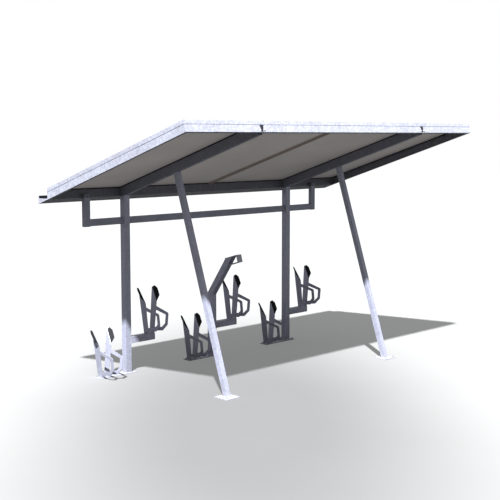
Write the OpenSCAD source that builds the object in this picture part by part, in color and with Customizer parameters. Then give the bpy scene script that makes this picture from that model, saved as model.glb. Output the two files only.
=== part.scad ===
// Bike shelter: a tilted roof frame on two posts and two struts,
// over three stands that carry six wheel holders, low and high in turn.
// X runs along the shelter, -Y is the open front, Z is up, and Z = 0 is the ground.

/* [Roof] */
// Length of the roof along X
roof_length = 5000; // [4400:10:6000]
// Distance up the slope from the line of the posts to the front edge
roof_reach = 2376; // [2000:1:2900]
// Pitch of the roof in degrees
roof_pitch = 18; // [14:1:20]
// Height of the roof frame's underside above the ground at the line of the posts
frame_height = 2155; // [2080:5:2600]
// Depth of the roof frame's channels, square to the slope
frame_depth = 102; // [80:1:130]
// Width of the roof frame's channels
frame_width = 40; // [30:1:60]
// Wall of the roof frame's channels
frame_wall = 4; // [3:0.5:6]
// Thickness of the roof panels
panel_thickness = 15; // [10:1:30]
// Sheet thickness of the edge trim and the gutter
sheet = 3; // [2:0.5:4]
// Depth of the edge trim, from its top
trim_drop = 40; // [30:1:50]
// Width of the edge trim on top of the panels
trim_lap = 60; // [40:1:90]
// Width of the notches in the front beam at the top
notch_top = 62; // [40:1:70]
// Width of the notches in the front beam at the bottom
notch_foot = 26; // [15:1:35]

/* [Rafters] */
// Depth of a rafter, square to the slope
rafter_depth = 115; // [100:1:140]
// Width of a rafter
rafter_width = 60; // [50:1:80]
// Wall of a rafter
rafter_wall = 4; // [3:0.5:6]
// Flange width of the bar under the joint of the panels
joint_flange = 50; // [40:1:70]
// Depth of the bar under the joint of the panels
joint_depth = 28; // [20:1:40]

/* [Gutter] */
// Width of the gutter, front to back
gutter_width = 170; // [120:1:220]
// Height of the gutter's back wall
gutter_back = 92; // [75:1:110]
// Width of the lip that is folded in along the back wall
gutter_lip = 17; // [10:1:30]
// Height of the gutter's end plates at the front wall
gutter_stop = 8; // [5:1:20]

/* [Posts] */
// Distance between the centres of the two posts
post_spacing = 2850; // [2500:10:3500]
// Side of the square posts and stands
post_size = 80; // [70:1:100]
// Wall of the posts and stands
post_wall = 4; // [3:0.5:6]

/* [Struts] */
// Distance up the slope from the line of the posts to the struts
strut_reach = 975; // [700:5:1300]
// Side of the square struts
strut_size = 60; // [50:1:80]
// Wall of the struts
strut_wall = 4; // [3:0.5:6]
// Side of the square plate under a strut
foot_size = 200; // [150:5:260]
// Thickness of the foot plates and base plates
plate_thickness = 10; // [8:1:15]
// Distance of the anchor holes from a plate's edges
hole_edge = 25; // [20:1:35]
// Diameter of the anchor holes
anchor_hole = 14; // [10:1:18]

/* [Rear rail] */
// Height of the rail's underside above the ground
rail_level = 1810; // [1500:10:1900]
// Height of the rail
rail_height = 80; // [60:1:100]
// Depth of the rail and of the hangers
rail_depth = 50; // [30:1:60]
// Wall of the rail and of the hangers
rail_wall = 3; // [2:0.5:4]
// Distance from a post's centre to the end of the rail
rail_overhang = 600; // [300:10:800]
// Height of the hangers' lap on the gutter's front wall
hanger_lap = 45; // [30:1:60]

/* [Stands] */
// Height of the bend in the middle stand, at the centre of its tube
bend_height = 816; // [700:1:1000]
// Lean of the middle stand's upper part towards the front, in degrees
lean = 35; // [20:1:45]
// Length of the middle stand's upper part along its centre
lean_length = 606; // [400:1:800]
// Width of the flat bar of the locking ring
ring_width = 86; // [50:1:100]
// Thickness of the flat bar of the locking ring
ring_bar = 8; // [6:1:12]
// Length of the locking ring's top leg
ring_length = 216; // [170:1:300]
// Height of the locking ring
ring_height = 98; // [70:1:120]
// Upward tilt of the locking ring towards the front, in degrees
ring_tilt = 16; // [5:1:20]
// Height of the underside of the arms that carry the high holders
arm_level = 360; // [280:5:500]
// Wall of those arms
arm_wall = 4; // [3:0.5:6]
// Width of the base plates
base_width = 120; // [110:1:200]
// Distance that a base plate runs past its low holder's centre
base_tail = 94; // [90:1:140]
// Distance that a base plate runs past its stand
base_nose = 80; // [60:1:150]

/* [Wheel holders] */
// Clear width between the two cheeks at their feet
cheek_gap = 82; // [60:1:100]
// Depth of a cheek, front to back
cheek_depth = 85; // [70:1:110]
// Plate thickness of the cheeks
cheek_plate = 6; // [4:0.5:8]
// Length of a cheek, from its foot to its tip
cheek_height = 562; // [500:1:620]
// Lean of a cheek's back edge at the tip, to the back
cheek_back = 24; // [0:1:40]
// Distance up a cheek at which its leaf starts
leaf_start = 383; // [345:1:420]
// Outward lean of the cheeks in degrees
flare = 6.5; // [3:0.5:9]
// Outward fold of the leaves in degrees
leaf_fold = 58; // [30:1:70]
// Width of a leaf, square to its fold
leaf_width = 62; // [40:1:75]
// Reach of the hoops in front of the cheeks
hoop_reach = 232; // [180:2:270]
// Distance up a cheek of the hoop's top
hoop_top = 335; // [300:1:345]
// Width of a hoop's bar
hoop_bar = 45; // [25:1:50]
// Diameter of the bolt holes in a holder's foot
foot_hole = 11; // [9:1:14]

/* [Hidden] */
$fn = 32;

galvanised = [0.72, 0.73, 0.76];
shaded_zinc = [0.55, 0.56, 0.60];
board_grey = [0.45, 0.43, 0.41];

bite = 1; // how far a cutting shape runs past what it cuts
arc_steps = 5; // straight steps in a rounded corner of an outline
panel_joint = 4; // open joint between the two panels
panel_drip = 12; // how far the panels run over the gutter
hanger_cap = 5; // closed top of a hanger
foot_inset = 2; // how far a holder's foot stands back from the cheeks' edges

half_post = post_size / 2;
post_x = post_spacing / 2;
pitch = post_spacing / 4; // distance between wheel places
half_roof = roof_length / 2;
inside_x = half_roof - sheet; // inner face of the edge trim, on which the beams lie
inside_y = roof_reach - sheet;
slope_cos = cos(roof_pitch);
slope_sin = sin(roof_pitch);
rafter_under = frame_depth - rafter_depth; // rafter underside above the frame's underside
panel_end = (half_post + sheet + panel_drip - frame_depth * slope_sin) / slope_cos;
gutter_y = half_post + gutter_width; // back face of the gutter
rail_y = half_post - rail_depth / 2; // the rail is flush with the backs of the posts
hanger_x = post_x + rail_overhang - rail_height / 2;
arm_top = arm_level + post_size;
far = 2 * roof_length; // longer than anything here, for cutting shapes

// Height at distance y behind the posts of a plane parallel to the roof,
// which lies rise above the roof frame's underside
function slope_z(y, rise = 0) = frame_height - y * tan(roof_pitch) + rise / slope_cos;

// Y of a strut's centre where it meets its foot plate
strut_foot_y = -strut_reach / slope_cos - (frame_height - plate_thickness) * tan(roof_pitch);

// Puts its children in the roof's own frame: y runs down the slope, z square to it
module on_slope() {
    translate([0, 0, frame_height]) rotate([-roof_pitch, 0, 0]) children();
}

// Extrudes an outline of [y, z] points along X, from x0 to x1
module along_x(x0, x1) {
    translate([x0, 0, 0]) rotate([90, 0, 90]) linear_extrude(x1 - x0) children();
}

// Extrudes an outline of [x, z] points along Y, from y0 to y1
module along_y(y0, y1) {
    translate([0, y1, 0]) rotate([90, 0, 0]) linear_extrude(y1 - y0) children();
}

// Removes everything behind the posts' backs, where the gutter starts
module stop_at_gutter() {
    difference() {
        children();
        translate([-far, half_post, -far]) cube(2 * far);
    }
}

// The outline of an oblong tube
module hollow(width, depth, wall) {
    difference() {
        square([width, depth], center = true);
        square([width - 2 * wall, depth - 2 * wall], center = true);
    }
}

// Four anchor holes through a plate that is width by depth and centred on the origin
module anchor_holes(width, depth) {
    for (x = [-1, 1] * (width / 2 - hole_edge), y = [-1, 1] * (depth / 2 - hole_edge))
        translate([x, y, -bite]) cylinder(d = anchor_hole, h = plate_thickness + 2 * bite);
}

function unit(v) = v / norm(v);
function spin(v, a) = [v[0] * cos(a) - v[1] * sin(a), v[0] * sin(a) + v[1] * cos(a)];

// An outline from [x, y, radius] points, with the corners of radius > 0 rounded
function rounded(points) = [
    for (i = [0 : len(points) - 1])
        let (
            n = len(points),
            p = [points[i][0], points[i][1]],
            before = points[(i + n - 1) % n],
            after = points[(i + 1) % n],
            u = unit([before[0] - p[0], before[1] - p[1]]),
            v = unit([after[0] - p[0], after[1] - p[1]]),
            half = acos(max(-1, min(1, u * v))) / 2,
            centre = p + unit(u + v) * points[i][2] / sin(half),
            start = p + u * points[i][2] / tan(half) - centre,
            turn = (u[0] * v[1] - u[1] * v[0] > 0 ? -1 : 1) * (180 - 2 * half)
        )
        each points[i][2] == 0 ? [p]
            : [for (k = [0 : arc_steps]) centre + spin(start, turn * k / arc_steps)]
];

// ---- posts, struts and ground plates ----

// A roof post, cut along the slope under its rafter
module post(x) {
    color(shaded_zinc) difference() {
        translate([x, 0, plate_thickness])
            linear_extrude(slope_z(-post_size)) hollow(post_size, post_size, post_wall);
        on_slope() translate([x - post_size, -far / 2, rafter_under])
            cube([2 * post_size, far, far]);
    }
}

// The middle stand's upright, mitred for the leaning arm
module stand_post() {
    color(shaded_zinc) difference() {
        translate([0, 0, plate_thickness])
            linear_extrude(bend_height + half_post) hollow(post_size, post_size, post_wall);
        translate([0, 0, bend_height]) rotate([lean / 2, 0, 0])
            translate([-post_size, -post_size, 0]) cube([2, 2, 3] * post_size);
    }
}

// The leaning arm's frame: z runs up the arm from the bend
module on_lean() {
    translate([0, 0, bend_height]) rotate([lean, 0, 0]) children();
}

// The ring's frame: y runs back along its top leg, z square to it, from the arm's end
module on_ring() {
    on_lean() translate([0, 0, lean_length]) rotate([-ring_tilt - lean, 0, 0]) children();
}

module stand_arm() {
    color(shaded_zinc) difference() {
        on_lean() translate([0, 0, -half_post])
            linear_extrude(lean_length + 2 * post_size) hollow(post_size, post_size, post_wall);
        translate([0, 0, bend_height]) rotate([lean / 2, 0, 0])
            translate([-post_size, -post_size, -2 * post_size]) cube(2 * post_size);
        on_ring() translate([-post_size, -3 * post_size, 0]) cube(6 * post_size);
    }
}

// A strap over the arm's end and back to its front face
module lock_ring() {
    back = half_post / cos(ring_tilt + lean);
    front = back - ring_length;
    color(galvanised) difference() {
        on_ring() along_x(-ring_width / 2, ring_width / 2) difference() {
            translate([front, ring_bar - ring_height]) square([ring_length, ring_height]);
            translate([front + ring_bar, 2 * ring_bar - ring_height])
                square([ring_length, ring_height - 2 * ring_bar]);
        }
        difference() {
            on_lean() translate([-post_size, -half_post, 0])
                cube([2 * post_size, 3 * post_size, lean_length + 4 * post_size]);
            on_ring() translate([-post_size, -ring_length, 0])
                cube([2 * post_size, 2 * ring_length, 2 * post_size]);
        }
    }
}

// A long plate under a stand, which reaches under its low holder
module base_plate(x) {
    start = x - pitch / 2 - base_tail;
    length = pitch / 2 + base_tail + half_post + base_nose;
    color(galvanised) translate([start + length / 2, 0, 0]) difference() {
        translate([-length / 2, -base_width / 2, 0])
            cube([length, base_width, plate_thickness]);
        anchor_holes(length, base_width);
    }
}

// A strut square to the roof, cut level at its foot
module strut(x) {
    color(galvanised) difference() {
        on_slope() translate([x, -strut_reach, rafter_under - far])
            linear_extrude(far) hollow(strut_size, strut_size, strut_wall);
        translate([x - strut_size, -far, plate_thickness - 2 * far])
            cube([2 * strut_size, 2 * far, 2 * far]);
    }
}

module strut_foot(x) {
    color(galvanised) translate([x, strut_foot_y, 0]) difference() {
        translate([-foot_size / 2, -foot_size / 2, 0])
            cube([foot_size, foot_size, plate_thickness]);
        anchor_holes(foot_size, foot_size);
    }
}

// ---- roof frame ----

module rafter(x) {
    color(shaded_zinc) stop_at_gutter() on_slope()
        translate([x, 0, frame_depth - rafter_depth / 2])
            along_y(frame_width - inside_y, 2 * post_size)
                hollow(rafter_width, rafter_depth, rafter_wall);
}

// Keeps what lies inside a mitred corner region of the roof, seen square to it
module front_region() {
    linear_extrude(4 * frame_depth, center = true) polygon([
        [-half_roof, -roof_reach], [half_roof, -roof_reach],
        [half_roof - roof_reach / 2, -roof_reach / 2],
        [roof_reach / 2 - half_roof, -roof_reach / 2]
    ]);
}

// A channel's outline, open towards +x, with its foot at the origin
module channel() {
    difference() {
        square([frame_width, frame_depth]);
        translate([frame_wall, frame_wall])
            square([frame_width, frame_depth - 2 * frame_wall]);
    }
}

// The edge trim's outline, open towards +x, with its top at trim_rise
module edge_trim() {
    trim_rise = frame_depth + panel_thickness + sheet;
    translate([0, trim_rise - trim_drop]) square([sheet, trim_drop]);
    translate([0, trim_rise - sheet]) square([trim_lap, sheet]);
}

// The front beam, with a notch in its web before each rafter
module front_beam() {
    color(galvanised) on_slope() difference() {
        intersection() {
            translate([0, -inside_y, 0]) along_x(-inside_x, inside_x) channel();
            front_region();
        }
        for (x = [-post_x, post_x])
            translate([x, -inside_y, 0]) along_y(-bite, frame_wall) polygon([
                [-notch_foot / 2, frame_wall], [notch_foot / 2, frame_wall],
                [notch_top / 2, frame_depth - trim_drop / 2],
                [-notch_top / 2, frame_depth - trim_drop / 2]
            ]);
    }
}

// A side beam from its mitre at the front to the gutter, at the -X side
module side_beam() {
    color(galvanised) stop_at_gutter() on_slope() difference() {
        translate([-inside_x, 0, 0]) along_y(-inside_y, 2 * post_size) channel();
        front_region();
    }
}

// A bar of T section under the joint of the panels
module joint_bar() {
    color(shaded_zinc) stop_at_gutter() on_slope() along_y(frame_width - inside_y, 2 * post_size) {
        translate([-joint_flange / 2, frame_depth - frame_wall])
            square([joint_flange, frame_wall]);
        translate([-frame_wall / 2, frame_depth - joint_depth])
            square([frame_wall, joint_depth]);
    }
}

// One half of the roof, at the -X side
module roof_panel() {
    color(board_grey) on_slope() translate([-inside_x, -inside_y, frame_depth])
        cube([inside_x - panel_joint / 2, inside_y + panel_end, panel_thickness]);
}

module trim_front() {
    color(galvanised) on_slope() intersection() {
        translate([0, -roof_reach, 0]) along_x(-half_roof, half_roof) edge_trim();
        front_region();
    }
}

// The edge trim along the -X side
module trim_side() {
    color(galvanised) stop_at_gutter() on_slope() difference() {
        translate([-half_roof, 0, 0]) along_y(-roof_reach, 2 * post_size) edge_trim();
        front_region();
    }
}

// ---- gutter ----

gutter_foot = slope_z(gutter_y);
gutter_rim = gutter_foot + gutter_back;
floor_rise = sheet / slope_cos;

module gutter() {
    color(galvanised) along_x(-inside_x, inside_x) polygon([
        [half_post, slope_z(half_post, frame_depth)],
        [half_post, slope_z(half_post)],
        [gutter_y, gutter_foot],
        [gutter_y, gutter_rim],
        [gutter_y - gutter_lip, gutter_rim],
        [gutter_y - gutter_lip, gutter_rim - sheet],
        [gutter_y - sheet, gutter_rim - sheet],
        [gutter_y - sheet, slope_z(gutter_y - sheet) + floor_rise],
        [half_post + sheet, slope_z(half_post + sheet) + floor_rise],
        [half_post + sheet, slope_z(half_post + sheet, frame_depth)]
    ]);
}

// A wedge with a level top that closes the gutter, at the -X side
module gutter_end() {
    level = slope_z(half_post) + gutter_stop;
    color(galvanised) along_x(-half_roof, -inside_x) polygon([
        [half_post, slope_z(half_post)], [gutter_y, gutter_foot],
        [gutter_y, level], [half_post, level]
    ]);
}

// ---- rear rail ----

module rail(x0, x1) {
    color(shaded_zinc) translate([0, rail_y, rail_level + rail_height / 2])
        along_x(x0, x1) hollow(rail_depth, rail_height, rail_wall);
}

// An upright from the rail's end to the gutter, closed at its top
module hanger(x) {
    length = slope_z(half_post) + hanger_lap - rail_level;
    color(shaded_zinc) translate([x, rail_y, rail_level]) {
        linear_extrude(length) hollow(rail_height, rail_depth, rail_wall);
        translate([0, 0, length - hanger_cap]) linear_extrude(hanger_cap)
            square([rail_height, rail_depth], center = true);
    }
}

// ---- wheel holders ----

// An arm at the right of a stand, which carries a high holder
module holder_arm(x) {
    color(shaded_zinc) translate([0, 0, arm_level + half_post])
        along_x(x + half_post, x + pitch / 2 + cheek_gap / 2 + 14)
            hollow(post_size, post_size, arm_wall);
}

// A cheek with its hoop, as [forward, up] points on its plane
module cheek_outline() {
    edge = cheek_depth / 2;
    tip = edge + hoop_reach;
    inner = tip - hoop_bar;
    polygon([
        [-edge, -cheek_plate], [edge, -cheek_plate], [edge, leaf_start],
        [-edge - cheek_back + 2, cheek_height], [-edge - cheek_back, cheek_height - 6]
    ]);
    difference() {
        polygon(rounded([
            [edge - bite, 30, 0], [tip - 82, 50, 16], [tip, 130, 16],
            [tip, hoop_top - 60, 24], [edge - bite, hoop_top, 0]
        ]));
        polygon(rounded([
            [edge - 2 * bite, 30 + hoop_bar, 0], [tip - 96, 50 + hoop_bar, 8],
            [inner, 143, 8], [inner, hoop_top - 60 - 26, 10],
            [edge - 2 * bite, hoop_top - hoop_bar - 2, 0]
        ]));
    }
}

// The leaf beyond the fold, as [along the fold, outward] points
module leaf_outline(length) {
    polygon(rounded([
        [0, 0, 0], [length * 0.39, -leaf_width, 12], [length * 0.84, -leaf_width, 12],
        [length * 1.05, -leaf_width * 0.6, 10], [length, 0, 0]
    ]));
}

// The left cheek of a holder, with its inner face through the origin
module cheek() {
    edge = cheek_depth / 2;
    run = edge + edge + cheek_back - 2;
    rise = cheek_height - leaf_start;
    rotate([0, -flare, 0]) rotate([90, 0, -90]) {
        linear_extrude(cheek_plate) cheek_outline();
        translate([edge, leaf_start, 0]) rotate(atan2(rise, -run)) rotate([-leaf_fold, 0, 0])
            linear_extrude(cheek_plate) leaf_outline(norm([run, rise]));
    }
}

// A wheel holder: two cheeks on a foot that is bolted down at height z
module holder(x, z) {
    color(galvanised) translate([x, 0, z]) difference() {
        union() {
            for (side = [0, 1]) mirror([side, 0, 0])
                translate([-cheek_gap / 2, 0, 0]) cheek();
            translate([-cheek_gap / 2 - cheek_plate / 2, foot_inset - cheek_depth / 2, -bite])
                cube([cheek_gap + cheek_plate, cheek_depth - 2 * foot_inset, cheek_plate + bite]);
        }
        translate([-cheek_gap, -cheek_depth, -2 * cheek_plate])
            cube([2 * cheek_gap, 2 * cheek_depth, 2 * cheek_plate]);
        for (y = [-1, 1] * cheek_depth / 4)
            translate([0, y, -bite]) cylinder(d = foot_hole, h = cheek_plate + 2 * bite);
    }
}

post(-post_x);  // post_left
post(post_x);  // post_right
stand_post();
stand_arm();
lock_ring();
base_plate(-post_x);  // base_plate_left
base_plate(0);  // base_plate_middle
base_plate(post_x);  // base_plate_right
strut(-post_x);  // strut_left
strut(post_x);  // strut_right
strut_foot(-post_x);  // strut_foot_left
strut_foot(post_x);  // strut_foot_right
rafter(-post_x);  // rafter_left
rafter(post_x);  // rafter_right
front_beam();
side_beam();  // side_beam_left
mirror([1, 0, 0]) side_beam();  // side_beam_right
joint_bar();
roof_panel();  // roof_panel_left
mirror([1, 0, 0]) roof_panel();  // roof_panel_right
trim_front();
trim_side();  // trim_left
mirror([1, 0, 0]) trim_side();  // trim_right
gutter();
gutter_end();  // gutter_end_left
mirror([1, 0, 0]) gutter_end();  // gutter_end_right
rail(half_post - post_x, post_x - half_post);  // rail_middle
rail(-hanger_x + rail_height / 2, -post_x - half_post);  // rail_left
rail(post_x + half_post, hanger_x - rail_height / 2);  // rail_right
hanger(-hanger_x);  // hanger_left
hanger(hanger_x);  // hanger_right
holder_arm(-post_x);  // holder_arm_left
holder_arm(0);  // holder_arm_middle
holder_arm(post_x);  // holder_arm_right
holder(-2.5 * pitch, plate_thickness);  // holder_low_left
holder(-0.5 * pitch, plate_thickness);  // holder_low_middle
holder(1.5 * pitch, plate_thickness);  // holder_low_right
holder(-1.5 * pitch, arm_top);  // holder_high_left
holder(0.5 * pitch, arm_top);  // holder_high_middle
holder(2.5 * pitch, arm_top);  // holder_high_right
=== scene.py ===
"""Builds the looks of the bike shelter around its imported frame."""

import math

import bmesh
import bpy
from bpy.props import (
    FloatProperty,
    FloatVectorProperty,
    IntProperty,
    PointerProperty,
)
from mathutils import Matrix, Vector


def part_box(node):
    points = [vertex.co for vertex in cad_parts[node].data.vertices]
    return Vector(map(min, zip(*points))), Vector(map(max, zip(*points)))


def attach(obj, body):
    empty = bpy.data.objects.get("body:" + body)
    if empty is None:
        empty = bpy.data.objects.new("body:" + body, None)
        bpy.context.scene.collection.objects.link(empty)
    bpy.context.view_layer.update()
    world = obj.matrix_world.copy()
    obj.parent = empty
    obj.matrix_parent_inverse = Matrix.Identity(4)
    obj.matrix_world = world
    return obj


bl_info = {
    "name": "Bike Shelter Looks",
    "version": (1, 0, 0),
    "blender": (4, 5, 0),
    "location": "3D View > Sidebar > Shelter",
    "description": "Finishes, fixings and stage for the bike shelter",
    "category": "Object",
}

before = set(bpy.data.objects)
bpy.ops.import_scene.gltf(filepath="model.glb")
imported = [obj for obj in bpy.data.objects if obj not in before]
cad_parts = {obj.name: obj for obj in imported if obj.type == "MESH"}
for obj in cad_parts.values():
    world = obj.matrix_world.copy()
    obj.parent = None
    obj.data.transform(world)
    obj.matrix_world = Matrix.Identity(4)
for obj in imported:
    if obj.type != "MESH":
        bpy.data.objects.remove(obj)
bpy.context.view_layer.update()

# Sizes that the source also has, in metres
PITCH = math.radians(18.0)
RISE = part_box("gutter")[0].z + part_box("gutter")[1].y * math.tan(PITCH)
FRAME_DEPTH = 0.102
RAFTER_UNDER = FRAME_DEPTH - 0.115
BOARD = 0.015
SHEET = 0.003
TRIM_DROP = 0.040
TRIM_TOP = FRAME_DEPTH + BOARD + SHEET
ROOF_REACH = 2.376
ROOF_HALF = 2.5
FRAME_WIDTH = 0.040
STRUT_REACH = 0.975
HOLE_EDGE = 0.025
LEAN = math.radians(35.0)
RING_TILT = math.radians(16.0)
BEND_HEIGHT = 0.816
LEAN_LENGTH = 0.606
FLARE = math.radians(6.5)
LEAF_FOLD = math.radians(58.0)
LEAF_WIDTH = 0.062
LEAF_START = 0.383
CHEEK_GAP = 0.082
CHEEK_DEPTH = 0.085
CHEEK_HEIGHT = 0.562
CHEEK_BACK = 0.024
CHEEK_PLATE = 0.006

# A leaf's outline, as parts of its fold's length and of its width, and its corners' radii
LEAF_NEAR = 0.39
LEAF_FAR = 0.84
LEAF_TIP = 1.05
LEAF_TIP_WIDTH = 0.6
LEAF_CORNER = 0.013
LEAF_TIP_CORNER = 0.011

# Sizes of the small pieces, in metres
RIVET = {
    "Washer radius": 0.0045, "Washer height": 0.0010, "Head radius": 0.0034,
    "Head height": 0.0008, "Thread radius": 0.0020, "Thread height": 0.0,
}
RIVET_PITCH = 0.5
FRAME_BOLT = 0.009
COVER_PROFILE = ((-0.038, 0.0), (-0.036, 0.002), (-0.006, 0.002), (-0.003, 0.005))
NOTCH_FOOT = 0.0125
NOTCH_HEAD = 0.0300
NOTCH_LOW = 0.0045
NOTCH_HIGH = 0.0795

# Where dust and splashes end above the ground, and their colour
SPLASH_HEIGHT = 0.22
DUST = (0.24, 0.23, 0.215)

# The stage: the sun's path, width and colour, the sky's colours, the floor's size and tones,
# and the painted shade that greys the ground near the shelter, with its centre,
# its reach along two axes and where it fades
SUN_PATH = (0.582, 0.43, -1.0)
SUN_WIDTH = math.radians(1.6)
SUN_COLOUR = (0.93, 0.945, 1.0)
SKY_COLOUR = (0.93, 0.94, 1.0)
WHITE = (1, 1, 1)
FLOOR_REACH = 60.0
FLOOR_PAINTED_SHADE = (0.091, 0.090, 0.087)
FLOOR_FAR = (0.204, 0.203, 0.193)
FLOOR_THROWN = (0.060, 0.060, 0.059)
FLOOR_GLOW = 0.205
SHADE_CENTRE = (-1.9, -2.5, 0)
SHADE_REACHES = (((-0.707, -0.707, 0), 2.6), ((0.707, -0.707, 0), 1.0))
SHADE_FADE = (0.5, 3.1)

STANDS = ("left", "middle", "right")
SIDES = ("left", "right")
HOLDERS = [f"holder_{level}_{place}" for level in ("low", "high") for place in STANDS]

GROUND_PLATES = (
    "base_plate_left", "base_plate_middle", "base_plate_right",
    "strut_foot_left", "strut_foot_right",
)

# The nodes of each finish; every other node is of galvanised sheet
FINISHES = {
    "coated_board": ("roof_panel_left", "roof_panel_right"),
    "coated_bar": ("joint_bar",),
    # painted shade: the gutter has a darker copy of the sheet zinc
    "sheet_zinc_painted_shade": ("gutter",),
    "galvanised_holder": HOLDERS,
    "galvanised_plate": (*GROUND_PLATES, "lock_ring"),
    # painted shade: the rails and hangers have a darker copy of the tube zinc
    "tube_zinc_painted_shade": (
        "rail_middle", "rail_left", "rail_right", "hanger_left", "hanger_right",
    ),
    "galvanised_tube": (
        "post_left", "post_right", "stand_post", "stand_arm",
        "holder_arm_left", "holder_arm_middle", "holder_arm_right",
        "rafter_left", "rafter_right", "strut_left", "strut_right",
    ),
}


# ---- settings ----


class ShelterFinish(bpy.types.PropertyGroup):
    """Colours of the shelter's surfaces."""

    tube_zinc: FloatVectorProperty(
        name="Tube zinc", description="Colour of the galvanised tubes",
        subtype="COLOR", size=3, min=0, max=1, default=(0.39, 0.402, 0.485))
    sheet_zinc: FloatVectorProperty(
        name="Sheet zinc", description="Colour of the galvanised sheet and channels",
        subtype="COLOR", size=3, min=0, max=1, default=(0.405, 0.415, 0.475))
    board: FloatVectorProperty(
        name="Roof board", description="Colour of the roof panels",
        subtype="COLOR", size=3, min=0, max=1, default=(0.80, 0.745, 0.68))
    roof_top: FloatVectorProperty(
        name="Roof top", description="Colour of the boards' upper side",
        subtype="COLOR", size=3, min=0, max=1, default=(0.105, 0.112, 0.128))
    # painted shade: near-black colour of the leaf sleeves and of the beads under the boards
    rubber: FloatVectorProperty(
        name="Rim guard", description="Colour of the rubber on the leaves",
        subtype="COLOR", size=3, min=0, max=1, default=(0.018, 0.018, 0.020))
    # also colours the notch stoppers, which paint the shade inside the notches
    plastic: FloatVectorProperty(
        name="Tube plug", description="Colour of the plastic plugs",
        subtype="COLOR", size=3, min=0, max=1, default=(0.02, 0.02, 0.022))
    spangle: FloatProperty(
        name="Spangle size", description="Width of one zinc crystal",
        subtype="DISTANCE", unit="LENGTH", min=0.004, max=0.05, default=0.018)


class ShelterHardware(bpy.types.PropertyGroup):
    """Sizes of the fixings and small pieces."""

    anchor: FloatProperty(
        name="Anchor", description="Diameter of the ground anchors",
        subtype="DISTANCE", unit="LENGTH", min=0.008, max=0.016, default=0.012)
    foot_bolt: FloatProperty(
        name="Holder bolt", description="Diameter of the bolts in a wheel holder's foot",
        subtype="DISTANCE", unit="LENGTH", min=0.006, max=0.012, default=0.010)
    roof_screw: FloatProperty(
        name="Roof screw", description="Diameter of the screws in the roof",
        subtype="DISTANCE", unit="LENGTH", min=0.004, max=0.008, default=0.0055)
    screw_pitch: FloatProperty(
        name="Screw spacing", description="Distance between the roof screws",
        subtype="DISTANCE", unit="LENGTH", min=0.1, max=0.6, default=0.3)
    bead: FloatProperty(
        name="Weld bead", description="Radius of a weld bead",
        subtype="DISTANCE", unit="LENGTH", min=0.001, max=0.006, default=0.0032)
    # painted shade: radius of the dark beads that stand in for the shade where the boards meet
    # the frame
    seal: FloatProperty(
        name="Seal bead", description="Radius of the sealant's beads",
        subtype="DISTANCE", unit="LENGTH", min=0.001, max=0.02, default=0.007)
    # painted shade: thickness of the dark sleeves on the leaves
    guard: FloatProperty(
        name="Rim guard", description="Thickness of the rubber on a leaf",
        subtype="DISTANCE", unit="LENGTH", min=0.001, max=0.004, default=0.0022)
    plug: FloatProperty(
        name="Tube plug", description="Thickness of a plug's head",
        subtype="DISTANCE", unit="LENGTH", min=0.002, max=0.008, default=0.005)
    seed: IntProperty(
        name="Seed", description="Seed for the turn of each bolt head",
        min=0, max=99, default=7)


class ShelterStage(bpy.types.PropertyGroup):
    """Camera, sun and floor."""

    azimuth: FloatProperty(
        name="Camera azimuth", description="Turn of the camera round the shelter",
        subtype="ANGLE", unit="ROTATION", default=math.radians(-45.852))
    elevation: FloatProperty(
        name="Camera elevation", description="Downward tilt of the camera",
        subtype="ANGLE", unit="ROTATION", default=math.radians(6.256))
    place: FloatVectorProperty(
        name="Camera place", description="Where the camera stands",
        subtype="XYZ", unit="LENGTH", size=3, default=(-9.273, -9.690, 2.851))
    lens: FloatProperty(
        name="Lens", description="Focal length for a 36 mm sensor",
        min=10, max=200, default=75.1)
    sun: FloatProperty(
        name="Sun", description="Strength of the sun", min=0, max=30, default=16.0)
    sky: FloatProperty(
        name="Sky", description="Strength of the soft light", min=0, max=4, default=0.42)


# ---- places ----


def on_slope(x, down, square):
    """A point of the roof's own frame: down the slope and square to it."""
    return Vector((
        x,
        down * math.cos(PITCH) + square * math.sin(PITCH),
        RISE - down * math.sin(PITCH) + square * math.cos(PITCH),
    ))


SLOPE_UP = Vector((0, math.sin(PITCH), math.cos(PITCH)))
SLOPE_FRONT = Vector((0, -math.cos(PITCH), math.sin(PITCH)))


def on_lean(x, y, z):
    """A point of the leaning arm's frame, with z up the arm from the bend."""
    turned = Matrix.Rotation(LEAN, 3, "X") @ Vector((x, y, z))
    return turned + Vector((0, 0, BEND_HEIGHT))


def on_ring(x, y, z):
    """A point of the lock ring's frame, with y back along its top leg."""
    turned = Matrix.Rotation(-RING_TILT, 3, "X") @ Vector((x, y, z))
    return turned + on_lean(0, 0, LEAN_LENGTH)


def middle_x(node):
    """Where a node's middle is, from left to right."""
    low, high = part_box(node)
    return (low.x + high.x) / 2


def corners(x0, x1, y0, y1):
    """The corners of a rectangle, in order."""
    return (x0, y0), (x1, y0), (x1, y1), (x0, y1)


def tube_rim(x, low, high):
    """A closed path round a box, in a plane square to X."""
    return [Vector((x, y, z)) for y, z in corners(low.y, high.y, low.z, high.z)], True


# ---- shader groups and materials ----


def new_group(name, inputs, outputs):
    """An empty shader group with its input and output nodes."""
    tree = bpy.data.node_groups.new(name, "ShaderNodeTree")
    kinds = {"value": "NodeSocketFloat", "colour": "NodeSocketColor"}
    for label, kind, default in inputs:
        socket = tree.interface.new_socket(label, in_out="INPUT", socket_type=kinds[kind])
        socket.default_value = default
    for label, kind in outputs:
        tree.interface.new_socket(label, in_out="OUTPUT", socket_type=kinds[kind])
    return tree, tree.nodes.new("NodeGroupInput"), tree.nodes.new("NodeGroupOutput")


def feed(tree, socket, value):
    """Gives an input a link, or a number or numbers of its own."""
    if isinstance(value, bpy.types.NodeSocket):
        tree.links.new(value, socket)
    elif socket.type == "RGBA":
        socket.default_value = (*value[:3], 1)
    else:
        socket.default_value = value


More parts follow.
